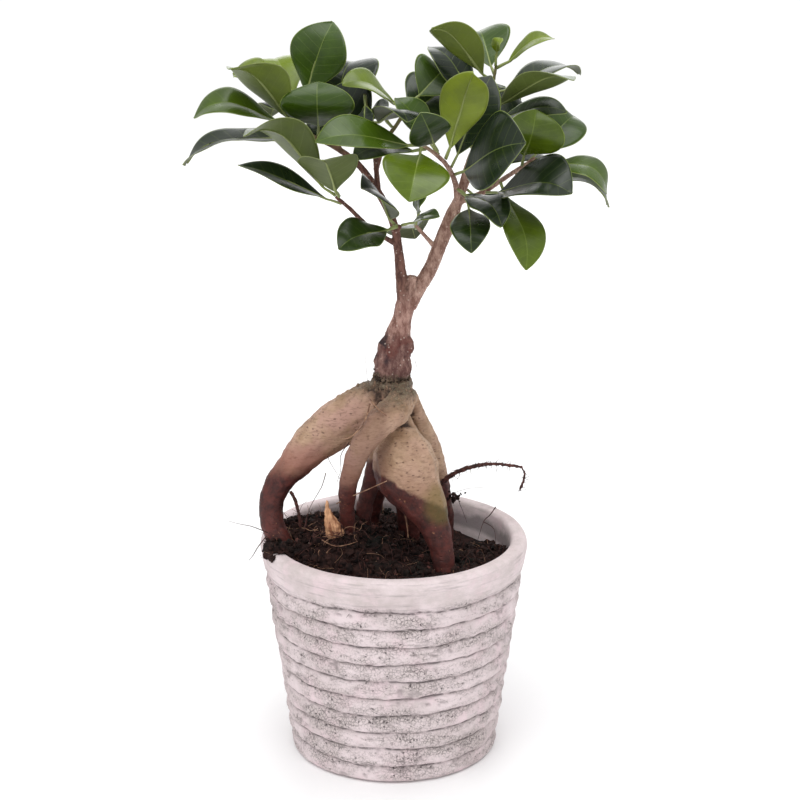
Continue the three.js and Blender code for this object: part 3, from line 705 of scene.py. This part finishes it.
def rings_of(node, corners):
    """The CAD leaf's cross-sections, end to end, each as an array of its corners."""
    shape = bmesh.new()
    shape.from_mesh(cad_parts[node].data)
    bmesh.ops.remove_doubles(shape, verts=shape.verts, dist=0.02 * MM)
    shape.verts.ensure_lookup_table()
    points = np.array([v.co for v in shape.verts])
    gaps = np.linalg.norm(points[:, None] - points[None], axis=2)
    for end in np.sort(gaps, axis=1)[:, :corners].sum(1).argsort():
        ring = set(np.argsort(gaps[end])[:corners].tolist())
        rings, seen = [], set(ring)
        while ring:
            rings.append(points[sorted(ring)])
            near = {edge.other_vert(shape.verts[i]).index for i in ring for edge in shape.verts[i].link_edges}
            ring = near - seen
            seen |= ring
        if all(len(found) == corners for found in rings):
            break
    shape.free()
    return rings


def unit(vectors):
    return vectors / np.maximum(np.linalg.norm(vectors, axis=-1, keepdims=True), 1e-12)


def leaf_bones(node):
    """The leaf's middle line, the way across it, the way up from it and its widest half width."""
    rings = rings_of(node, 6)
    spans = [np.linalg.norm(ring[:, None] - ring[None], axis=2) for ring in rings]
    if spans[1].max() > spans[-2].max():
        rings.reverse()
        spans.reverse()
    middles, across, up = [], [], []
    for ring, span in zip(rings, spans):
        i, j = np.unravel_index(span.argmax(), span.shape)
        way = unit(ring[j] - ring[i])
        if across and way @ across[-1] < 0:
            way = -way
        offset = np.abs((ring - ring.mean(0)) @ way)
        order = np.argsort(offset)
        middle, margins = ring[order[:2]].mean(0), ring[order[2:]].mean(0)
        middles.append(middle)
        across.append(way)
        up.append(unit(margins - middle))
    across[0] = across[1] = across[2]
    up[0] = up[1] = up[2]
    across[-1], up[-1] = across[-2], up[-2]
    middles, across, up = np.array(middles), np.array(across), np.array(up)
    across *= np.sign(np.einsum("ij,j->i", across, across[2]))[:, None]
    tangent = unit(np.gradient(middles, axis=0))
    up = unit(up - (up * tangent).sum(1)[:, None] * tangent)
    across = unit(np.cross(tangent, up))
    return middles, across, up, max(span.max() for span in spans) / 2


def carried(values, knots, at):
    """Values given at the knots, carried smoothly to the lengths between them."""
    slopes = np.gradient(values, knots, axis=0)
    k = np.clip(np.searchsorted(knots, at) - 1, 0, len(knots) - 2)
    width = (knots[k + 1] - knots[k])[:, None]
    t = (at - knots[k])[:, None] / width
    start = (2 * t ** 3 - 3 * t ** 2 + 1) * values[k] + (t ** 3 - 2 * t ** 2 + t) * width * slopes[k]
    return start + (3 * t ** 2 - 2 * t ** 3) * values[k + 1] + (t ** 3 - t ** 2) * width * slopes[k + 1]


def half_width(v):
    """The blade's outline: a wedge at the stalk, widest past the middle, and a blunt tip."""
    return np.sin(np.pi * np.clip(v, 0, 1) ** 1.28) ** 0.82


def make_leaf(name, node, age, chance):
    middles, across, up, half = leaf_bones(node)
    lengths = np.concatenate([[0], np.cumsum(np.linalg.norm(np.diff(middles, axis=0), axis=1))])
    stalk, tip = lengths[1] * 0.85, lengths[-1]
    fold = chance.uniform(0.14, 0.3)
    cup = chance.uniform(-0.02, 0.16)
    curl = chance.uniform(0, 1.8) * MM
    wave, waves, phase = chance.uniform(0.2, 0.8) * MM, chance.uniform(1.2, 2.4), chance.uniform(0, 6.28)
    twist = chance.uniform(-0.2, 0.2)

    x, y, z = flat_points.T
    v = np.where(on_stalk, y, (y + 1) / 2)
    v = np.where(on_stalk, v, 0.55 * v + 0.45 * (0.5 - 0.5 * np.cos(np.pi * v)))
    share = np.sign(x) * np.abs(x) ** 1.4
    wider = INNER_WIDER if name in INNER_BLADES else BLADE_WIDER
    wide = half * wider * np.maximum(half_width(v), 0.04)
    out = np.where(on_stalk, 0, share * wide)
    at = np.where(on_stalk, v * tip * 0.97, stalk + v * (tip - stalk))
    along = np.clip((at - stalk) / (tip - stalk), 0, 1)
    lift = fold * (np.sqrt(out ** 2 + (0.8 * MM) ** 2) - 0.8 * MM) - cup * out ** 2 / half
    lift += wave * share ** 2 * np.sin(waves * 2 * np.pi * v + phase + 1.3 * np.sign(share))
    lift -= curl * step_up(along, 0.6, 1) ** 2
    plate_half = BLADE_THICKNESS * (1 - 0.45 * np.abs(share) ** 3) / 2
    rib_dip = 0.22 * MM * np.exp(-((out / (0.45 * MM)) ** 2)) * (1 - v) * (z > 0)
    lift += np.where(on_stalk, 0, 2 * z * plate_half - rib_dip)
    ways = unit(carried(across, lengths, at))
    ups = unit(carried(up, lengths, at))
    turn = (twist * along)[:, None]
    sideways = ways * np.cos(turn) + ups * np.sin(turn)
    upward = ups * np.cos(turn) - ways * np.sin(turn)
    points = carried(middles, lengths, at) + sideways * out[:, None] + upward * lift[:, None]
    round_by = (0.78 - 0.2 * step_up(v, 0, 0.15) - 0.42 * step_up(v, 0.15, 1)) * MM
    under = step_up(at, stalk * 0.7, stalk * 1.3) * (BLADE_THICKNESS / 2 + round_by * 0.3)
    rod = points + (ways * x[:, None] + ups * z[:, None]) * round_by[:, None] - ups * under[:, None]
    rod -= unit(middles[1] - middles[0]) * (1.1 * MM * (1 - step_up(v, 0, 0.04)))[:, None]
    points = np.where(on_stalk[:, None], rod, points)

    leaf = bpy.data.objects.new(name, pattern.data.copy())
    leaf.data.name = name
    bpy.context.collection.objects.link(leaf)
    set_points(leaf, points)
    mark(leaf, "from_rib", np.abs(out) / MM)
    mark(leaf, "from_edge", np.where(on_stalk, 5, (wide - np.abs(out)) / MM))
    mark(leaf, "along", along)
    mark(leaf, "age", np.full(len(points), age))
    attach(leaf, "root")
    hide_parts(node)


chance = random.Random(7)
for node in sorted(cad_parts):
    if node.startswith("leaf_"):
        spot = node.removeprefix("leaf_")
        guess = chance.uniform(0.06, 0.5)
        make_leaf(f"blade_{spot}", node, LEAF_AGE.get(spot, guess), chance)
bpy.data.objects.remove(pattern)


# --- The soil: dark fibrous peat, mounded at the left, where it spills over the rim.
# The plug is one displaced skin. Crumbs, chips of bark and pale grit lie on it as separate small lumps.

peat = grown_copy("peat", "soil", 1.25 * MM, 3)
place = points_of(peat)
loose = step_up(place[:, 2], 92 * MM, 98 * MM)
loose_group = peat.vertex_groups.new(name="loose")
for i, share in enumerate(loose):
    loose_group.add([i], float(share), "REPLACE")
swell(peat, "CLOUDS", 9 * MM, 4.2 * MM, "loose")
swell(peat, "CLOUDS", 3.2 * MM, 3.4 * MM, "loose")
swell(peat, "CLOUDS", 1.4 * MM, 1.4 * MM, "loose")

peat_finish, tree, shader = new_finish("peat", 0.95)
shader.inputs["Specular IOR Level"].default_value = 0.2
here = own_place(tree)
clotted = rise(tree, mottle(tree, here, 260, 6, 0.7), 0.36, 0.66)
brown = mix(tree, clotted, paint(20, 13, 13), paint(56, 36, 32))
brown = mix(tree, rise(tree, mottle(tree, here, 60, 4), 0.5, 0.66), brown, paint(27, 27, 24))
threads = put(tree, "ShaderNodeMapping", {"Vector": here, "Scale": (1, 0.3, 0.5)}).outputs[0]
strands = rise(tree, mottle(tree, threads, 900, 4, 0.7), 0.6, 0.7)
brown = mix(tree, times(tree, strands, 0.55), brown, paint(100, 58, 46))
tree.links.new(brown, shader.inputs["Base Color"])
bump(tree, shader, mottle(tree, here, 800, 5, 0.7), 0.6 * MM, 0.9)
peat.data.materials.append(peat_finish)
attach(peat, "root")
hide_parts("soil")


def speck_finish(name, roughness, low, high, scale=400):
    """A small loose thing's finish, its colour varying between two shades."""
    material, tree, shader = new_finish(name, roughness)
    here = own_place(tree)
    shade = rise(tree, mottle(tree, here, scale, 3), 0.35, 0.65)
    tree.links.new(mix(tree, shade, low, high), shader.inputs["Base Color"])
    bump(tree, shader, mottle(tree, here, 1200, 3), 0.2 * MM, 0.6)
    return material


place, normal = points_of(peat), normals_of(peat)
rim_clear = np.hypot(place[:, 0], place[:, 1]) < 63.5 * MM
top = np.flatnonzero((place[:, 2] > 94 * MM) & (normal[:, 2] > 0.1) & rim_clear)
top_points, top_normals = place[top], normal[top]


def small_stones(name, spots, ways, sizes, finish, luck, flat):
    """Small stones of twenty faces, each squashed and turned its own way, joined in one mesh."""
    bpy.ops.object.select_all(action="DESELECT")
    bpy.ops.mesh.primitive_ico_sphere_add(subdivisions=1, radius=1)
    stone = bpy.context.object
    corners = points_of(stone)
    faces = np.array([tuple(face.vertices) for face in stone.data.polygons])
    bpy.data.objects.remove(stone)
    clouds, sides = [], []
    for k, (spot, way) in enumerate(zip(spots, ways)):
        size = sizes[0] + (sizes[1] - sizes[0]) * luck.random() ** 2
        shape = corners * luck.uniform(0.6, 1.25, (len(corners), 1)) * [1, luck.uniform(0.6, 1), flat]
        spin, _ = np.linalg.qr(luck.normal(size=(3, 3)))
        spin *= np.sign(np.linalg.det(spin))
        clouds.append(shape @ spin * size + spot + way * size * 0.5)
        sides.append(faces + k * len(corners))
    mesh = bpy.data.meshes.new(name)
    mesh.from_pydata(np.vstack(clouds).tolist(), [], np.vstack(sides).tolist())
    mesh.materials.append(finish)
    piece = bpy.data.objects.new(name, mesh)
    bpy.context.collection.objects.link(piece)
    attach(piece, "root")


def lumps_on_soil(name, count, sizes, finish, seed, flat=0.7):
    luck = np.random.default_rng(seed)
    spots = luck.choice(len(top_points), count)
    small_stones(name, top_points[spots], top_normals[spots], sizes, finish, luck, flat)


lumps_on_soil("peat_crumbs", 3600, (0.35 * MM, 1.7 * MM), peat_finish, 11)
lumps_on_soil("peat_clods", 420, (1.4 * MM, 3.2 * MM), peat_finish, 14, 0.8)
chip_finish = speck_finish("bark_chips", 0.8, paint(96, 52, 44), paint(52, 32, 28))
lumps_on_soil("bark_chips", 130, (0.8 * MM, 2.4 * MM), chip_finish, 12, 0.35)
grit_finish = speck_finish("pale_grit", 0.7, paint(206, 186, 176), paint(150, 120, 110))
lumps_on_soil("pale_grit", 90, (0.18 * MM, 0.5 * MM), grit_finish, 13)

# Flakes of dead bark in a ring round the graft, and crumbs caught among the fine roots at the right.
GRAFT_HEIGHT = 187.5 * MM
SCURF_FLAKES = 420
CAUGHT_CRUMBS = 34

luck = np.random.default_rng(15)
turn = luck.uniform(0, 2 * math.pi, SCURF_FLAKES)
ring = np.stack([np.cos(turn), np.sin(turn), 0 * turn], 1)
scurf = ring * luck.uniform(7.4, 9.1, (SCURF_FLAKES, 1)) * MM + [STEM_MIDDLE, 0, GRAFT_HEIGHT]
scurf[:, 2] += luck.normal(0, 2.2 * MM, SCURF_FLAKES)
scurf_finish = speck_finish("bark_scurf", 0.85, paint(124, 104, 86), paint(50, 38, 32), 260)
small_stones("graft_scurf", scurf, 0 * ring, (0.3 * MM, 1.2 * MM), scurf_finish, luck, 0.4)
spread = [2.2 * MM, 2 * MM, 1.5 * MM]
caught = np.array([30, 14, 123]) * MM + luck.normal(0, 1, (CAUGHT_CRUMBS, 3)) * spread
small_stones("caught_crumbs", caught, 0 * caught, (0.5 * MM, 1.5 * MM), peat_finish, luck, 0.8)


# --- Fine roots and fibres: hair roots on the soil and rootstock, the stray root at the right, the hanging
# root inside the arch, and the papery bud scale. All are thin and dry, and lie where they grew or fell.

rod = bendable_rod("fibre_rod", 3, 7)
rod_points = points_of(rod)
rod_faces = [tuple(face.vertices) for face in rod.data.polygons]
bpy.data.objects.remove(rod)


def fibre(path, thick, taper=0.35):
    """The thin rod laid along a smooth path through the given places."""
    path = np.asarray(path, float)
    knots = np.arange(len(path)) / (len(path) - 1)
    along = rod_points[:, 1]
    middle = carried(path, knots, along)
    way = unit(carried(np.gradient(path, axis=0), knots, along))
    aside = unit(np.cross(way, [0.31, 0.42, 0.85]))
    over = np.cross(way, aside)
    radius = (thick * (1 - (1 - taper) * along))[:, None]
    return middle + (aside * rod_points[:, [0]] + over * rod_points[:, [2]]) * radius


def fibres_piece(name, fibres, finish):
    mesh = bpy.data.meshes.new(name)
    faces = [tuple(i + k * len(rod_points) for i in face) for k in range(len(fibres)) for face in rod_faces]
    mesh.from_pydata(np.vstack(fibres).tolist(), [], faces)
    mesh.materials.append(finish)
    piece = bpy.data.objects.new(name, mesh)
    bpy.context.collection.objects.link(piece)
    bpy.ops.object.select_all(action="DESELECT")
    piece.select_set(True)
    bpy.context.view_layer.objects.active = piece
    bpy.ops.object.mode_set(mode="EDIT")
    bpy.ops.mesh.select_all(action="SELECT")
    bpy.ops.mesh.normals_make_consistent(inside=False)
    bpy.ops.object.mode_set(mode="OBJECT")
    bpy.ops.object.shade_smooth()
    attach(piece, "root")


def stray_path(luck, start, heading, length, sag, stops=5):
    """A wandering path that leaves its start by its heading and droops a little."""
    path = [np.array(start, float)]
    way = unit(np.array(heading, float))
    for _ in range(stops - 1):
        way = unit(way + luck.normal(0, 0.34, 3) - [0, 0, sag])
        path.append(path[-1] + way * length / (stops - 1))
    return path


# Fibres strewn over the soil, and in the tuft in front of the left arch.
SOIL_FIBRES = 700
TUFT_FIBRES = 70

root_thread = speck_finish("hair_root", 0.75, paint(92, 48, 40), paint(48, 26, 24))
pale_thread = speck_finish("pale_fibre", 0.7, paint(172, 134, 106), paint(120, 84, 64))
luck = np.random.default_rng(21)
dark_fibres, pale_fibres = [], []
for _ in range(SOIL_FIBRES):
    spot = luck.integers(len(top_points))
    heading = luck.normal(0, 1, 3) * [1, 1, 0.35] + top_normals[spot] * 0.5
    start = top_points[spot] + top_normals[spot] * 0.3 * MM
    path = stray_path(luck, start, heading, luck.uniform(4, 13) * MM, 0.15)
    kind = pale_fibres if luck.random() < 0.22 else dark_fibres
    kind.append(fibre(path, luck.uniform(0.1, 0.24) * MM))
for _ in range(TUFT_FIBRES):
    start = np.array([-28, -22, 117.5]) * MM + luck.normal(0, 1, 3) * [5 * MM, 4 * MM, 0.6 * MM]
    heading = luck.normal(0, 1, 3) * [1, 1, 0.3] + [0, 0, 0.25]
    path = stray_path(luck, start, heading, luck.uniform(5, 12) * MM, 0.06)
    (dark_fibres if luck.random() < 0.6 else pale_fibres).append(fibre(path, luck.uniform(0.14, 0.32) * MM))

# Single fibres that stand out: each is its stops in millimetres, and its thickness.
DARK_STRANDS = [
    ([(-32, -20, 147), (-34, -20, 140), (-38, -20, 133), (-41, -20, 126), (-42, -19, 117)], 0.26),
    ([(-32, -8, 155), (-31, -9, 150), (-27, -10, 143), (-24, -12, 138)], 0.2),
    ([(-21, -17, 161), (-25, -18, 155), (-25, -18, 148), (-27, -18, 141)], 0.26),
    ([(-13, -6, 202), (-13, -7, 195), (-12, -8, 188), (-10, -8, 184)], 0.14),
    ([(-60, -20, 117), (-67, -25, 122), (-72, -30, 125), (-77, -34, 128)], 0.3),
    ([(-60, -27, 118), (-64, -32, 114), (-66, -34, 111), (-68, -36, 109)], 0.34),
    ([(24, 14, 121), (30, 14, 125), (37, 12, 128), (45, 10, 129), (49, 10, 127), (48, 10, 121)], 0.13),
    ([(50, 10, 119), (47, 9, 115), (44, 8, 112), (41, 5, 103)], 0.34),
    ([(44, 8, 112), (49, 6, 109), (50, 4, 102)], 0.24),
    ([(24, 13, 119), (30, 14, 123), (33, 13, 118), (36, 12, 110)], 0.24),
    ([(-43, -12, 114), (-42, -13, 120), (-41, -13, 124)], 0.8),
    ([(10, -6, 198), (11, -6, 194), (9, -6, 191)], 0.14),
]
PALE_STRANDS = [
    ([(-27, -24, 133), (-20, -28, 138), (-12, -32, 143), (-3, -37, 149)], 0.3),
    ([(-11, -22, 184), (-9, -27, 183), (-6, -31, 181), (-3, -32, 179)], 0.45),
    ([(-11, -23, 182), (-13, -32, 177), (-16, -35, 173), (-21, -32, 168), (-24, -27, 167)], 0.42),
    ([(4, -14, 128), (6, -19, 123), (7, -22, 115)], 0.5),
    ([(-34, -27, 116), (-28, -30, 114), (-22, -31, 115), (-17, -29, 116)], 0.32),
]
for stops, thick in DARK_STRANDS:
    dark_fibres.append(fibre(np.array(stops) * MM, thick * MM))
for stops, thick in PALE_STRANDS:
    pale_fibres.append(fibre(np.array(stops) * MM, thick * MM, 0.7))
fibres_piece("dark_fibres", dark_fibres, root_thread)
fibres_piece("pale_fibres", pale_fibres, pale_thread)

stray = grown_copy("stray_hair_root", "stray_root", 0.22 * MM, 2)
swell(stray, "CLOUDS", 1.3 * MM, 1.5 * MM)
stray.data.materials.append(root_thread)
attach(stray, "root")
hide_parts("stray_root")
hanging = grown_copy("hanging_hair_root", "hanging_root", 0.22 * MM, 2)
swell(hanging, "CLOUDS", 1.3 * MM, 0.8 * MM)
hanging.data.materials.append(root_thread)
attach(hanging, "root")
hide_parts("hanging_root")

hairs = []
for source, count, reach in ((stray, 90, 4), (hanging, 16, 2)):
    place, normal = points_of(source), normals_of(source)
    for _ in range(count):
        spot = luck.integers(len(place))
        heading = normal[spot] + luck.normal(0, 0.5, 3)
        path = stray_path(luck, place[spot], heading, luck.uniform(1, reach) * MM, 0.1)
        hairs.append(fibre(path, 0.15 * MM))
fibres_piece("root_hairs", hairs, root_thread)

husk = grown_copy("dry_bud_scale", "dry_husk", 0.3 * MM, 3)
swell(husk, "CLOUDS", 2.2 * MM, 1.1 * MM)
place = points_of(husk)
set_points(husk, place + (place - place.mean(0)) * [0.35, 0, 0.06])
husk_finish, tree, shader = new_finish("dry_scale", 0.7)
here = own_place(tree)
along = put(tree, "ShaderNodeMapping", {"Vector": here, "Scale": (1, 1, 0.15)}).outputs[0]
lines = mottle(tree, along, 700, 4, 0.6)
papery = mix(tree, rise(tree, lines, 0.35, 0.65), paint(144, 92, 62), paint(214, 164, 124))
tree.links.new(papery, shader.inputs["Base Color"])
bump(tree, shader, lines, 0.3 * MM, 0.8)
husk.data.materials.append(husk_finish)
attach(husk, "root")
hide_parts("dry_husk")
